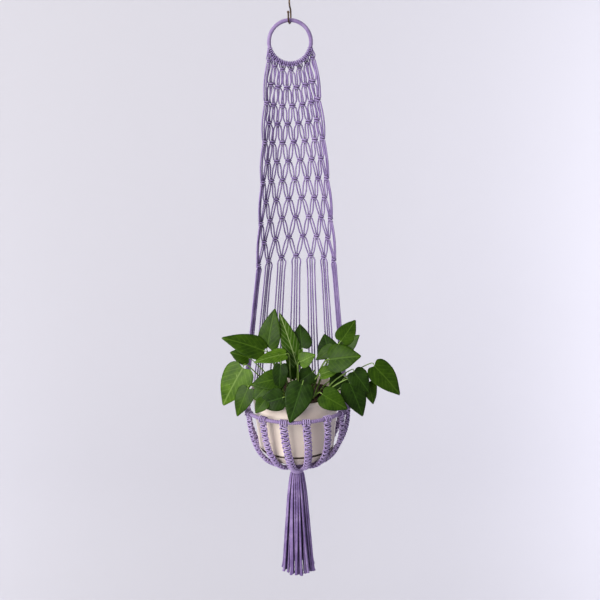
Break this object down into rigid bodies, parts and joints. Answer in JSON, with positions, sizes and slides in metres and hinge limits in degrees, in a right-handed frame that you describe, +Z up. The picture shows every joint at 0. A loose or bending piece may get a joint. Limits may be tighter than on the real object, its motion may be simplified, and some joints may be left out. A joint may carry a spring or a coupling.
{
  "type": "hanging macrame planter",
  "caption": "Knotted cord plant hanger with a wrapped ring, diamond net back, hoop and open basket ending in a tassel, holding a potted trailing plant.",
  "frame": {"origin": "top of the hook's straight shank, on the shank's axis", "axes": "+Z up along the shank, +X to the right seen from the open front, +Y towards the knotted net at the back"},
  "size_m": [0.338, 0.2194, 1.1167],
  "materials": {
    "hook_wire": "satin bronze lacquer",
    "ring_metal": "zinc plated",
    "hoop_wood": "plain rattan",
    "cotton_cord": "matte twisted cotton",
    "wrap_cord": "matte fine cord",
    "pot_shell": "satin moulded",
    "potting_soil": "rough crumbs",
    "pothos_leaf": "waxy leaf",
    "pothos_stem": "smooth green stem"
  },
  "bodies": {
    "hook": {"wire_hook": "hook_wire"},
    "ring": {"ring_core": "ring_metal", "ring_wrap": "wrap_cord", "larks_heads": "cotton_cord", "knot_row_00": "cotton_cord"},
    "hanger": {"knot_row_01": "cotton_cord", "knot_row_02": "cotton_cord", "knot_row_03": "cotton_cord", "knot_row_04": "cotton_cord", "knot_row_05": "cotton_cord", "knot_row_06": "cotton_cord", "knot_row_07": "cotton_cord", "knot_row_08": "cotton_cord", "knot_row_09": "cotton_cord", "knot_row_10": "cotton_cord", "strand_row_01": "cotton_cord", "strand_row_02": "cotton_cord", "strand_row_03": "cotton_cord", "strand_row_04": "cotton_cord", "strand_row_05": "cotton_cord", "strand_row_06": "cotton_cord", "strand_row_07": "cotton_cord", "strand_row_08": "cotton_cord", "strand_row_09": "cotton_cord", "strand_row_10": "cotton_cord", "bundle_1": "cotton_cord", "bundle_2": "cotton_cord", "bundle_3": "cotton_cord", "bundle_4": "cotton_cord", "bundle_5": "cotton_cord", "bundle_6": "cotton_cord", "bundle_7": "cotton_cord", "hoop_core": "hoop_wood", "hoop_wrap": "wrap_cord", "hoop_hitches": "cotton_cord", "hoop_larks_heads": "cotton_cord", "sennit_01": "cotton_cord", "sennit_02": "cotton_cord", "sennit_03": "cotton_cord", "sennit_04": "cotton_cord", "sennit_05": "cotton_cord", "sennit_06": "cotton_cord", "sennit_07": "cotton_cord", "sennit_08": "cotton_cord", "sennit_09": "cotton_cord", "sennit_10": "cotton_cord", "sennit_11": "cotton_cord", "sennit_12": "cotton_cord", "sennit_13": "cotton_cord", "sennit_14": "cotton_cord", "gathered_strands": "cotton_cord", "gather_wrap": "wrap_cord"},
    "pot": {"pot": "pot_shell", "saucer": "pot_shell", "soil": "potting_soil", "plant": "pothos_leaf"},
    "tassel": {"tassel": "cotton_cord"}
  },
  "joints": [
    {"name": "ring_sway", "type": "hinge", "parent": "hook", "child": "ring", "pos_m": [0, 0, -0.0638], "axis": [0, 1, 0], "range_deg": [-20, 20]},
    {"name": "net_swing", "type": "hinge", "parent": "ring", "child": "hanger", "pos_m": [0, 0, -0.141], "axis": [1, 0, 0], "range_deg": [-20, 20]},
    {"name": "pot_lift", "type": "slide", "parent": "hanger", "child": "pot", "axis": [0, 0, 1], "range_m": [0, 0.045]},
    {"name": "tassel_swing", "type": "hinge", "parent": "hanger", "child": "tassel", "pos_m": [0, -0.007, -0.9197], "axis": [0, 1, 0], "range_deg": [-25, 25]}
  ]
}
